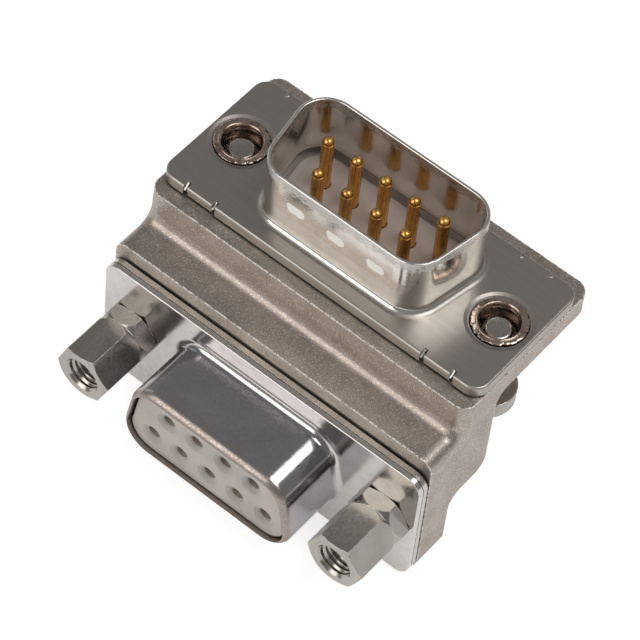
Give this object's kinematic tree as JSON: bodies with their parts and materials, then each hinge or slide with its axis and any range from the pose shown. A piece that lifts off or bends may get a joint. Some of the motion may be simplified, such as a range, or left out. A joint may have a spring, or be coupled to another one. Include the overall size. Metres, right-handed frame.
{
  "type": "right-angle connector adapter",
  "caption": "Right-angle D-shaped connector adapter: a cast metal elbow with a pin connector on top, a socket connector in front, captive screws and hexagonal jackscrews.",
  "frame": {"origin": "centre of the pin connector's flange, on the flange's outer face", "axes": "+Z is the way the mate of the pin connector leaves, -Y is the way the mate of the socket connector leaves, +X runs along both flanges"},
  "size_m": [0.0308, 0.0259, 0.0244],
  "materials": {
    "cast_nickel": "satin nickel plating on a zinc casting",
    "shell_nickel": "satin to bright nickel plating on drawn steel",
    "screw_nickel": "nickel plating on turned steel",
    "eyelet_nickel": "nickel plating over copper, rolled edge",
    "contact_gold": "gold plating on brass",
    "insulator_white": "glass-filled thermoplastic, off-white",
    "tinned_lead": "tinned copper wire"
  },
  "bodies": {
    "adapter": {"housing": "cast_nickel", "rear_cover": "cast_nickel", "male_front_shell": "shell_nickel", "male_rear_shell": "shell_nickel", "female_front_shell": "shell_nickel", "female_rear_shell": "shell_nickel", "male_front_insulator": "insulator_white", "male_rear_insulator": "insulator_white", "female_front_insulator": "insulator_white", "female_rear_insulator": "insulator_white", "eyelet_left": "eyelet_nickel", "eyelet_right": "eyelet_nickel", "jackscrew_left": "screw_nickel", "jackscrew_right": "screw_nickel", "pin_contact_1": "contact_gold", "pin_contact_2": "contact_gold", "pin_contact_3": "contact_gold", "pin_contact_4": "contact_gold", "pin_contact_5": "contact_gold", "pin_contact_6": "contact_gold", "pin_contact_7": "contact_gold", "pin_contact_8": "contact_gold", "pin_contact_9": "contact_gold", "socket_contact_1": "contact_gold", "socket_contact_2": "contact_gold", "socket_contact_3": "contact_gold", "socket_contact_4": "contact_gold", "socket_contact_5": "contact_gold", "socket_contact_6": "contact_gold", "socket_contact_7": "contact_gold", "socket_contact_8": "contact_gold", "socket_contact_9": "contact_gold", "link_lead_1": "tinned_lead", "link_lead_2": "tinned_lead", "link_lead_3": "tinned_lead", "link_lead_4": "tinned_lead", "link_lead_5": "tinned_lead", "link_lead_6": "tinned_lead", "link_lead_7": "tinned_lead", "link_lead_8": "tinned_lead", "link_lead_9": "tinned_lead"},
    "left_captive_screw": {"captive_screw_left": "screw_nickel"},
    "right_captive_screw": {"captive_screw_right": "screw_nickel"}
  },
  "joints": [
    {"name": "left_screw_slide", "type": "slide", "parent": "adapter", "child": "left_captive_screw", "axis": [0, 0, 1], "range_m": [0, 0.00455]},
    {"name": "right_screw_slide", "type": "slide", "parent": "adapter", "child": "right_captive_screw", "axis": [0, 0, 1], "range_m": [0, 0.00455]}
  ]
}
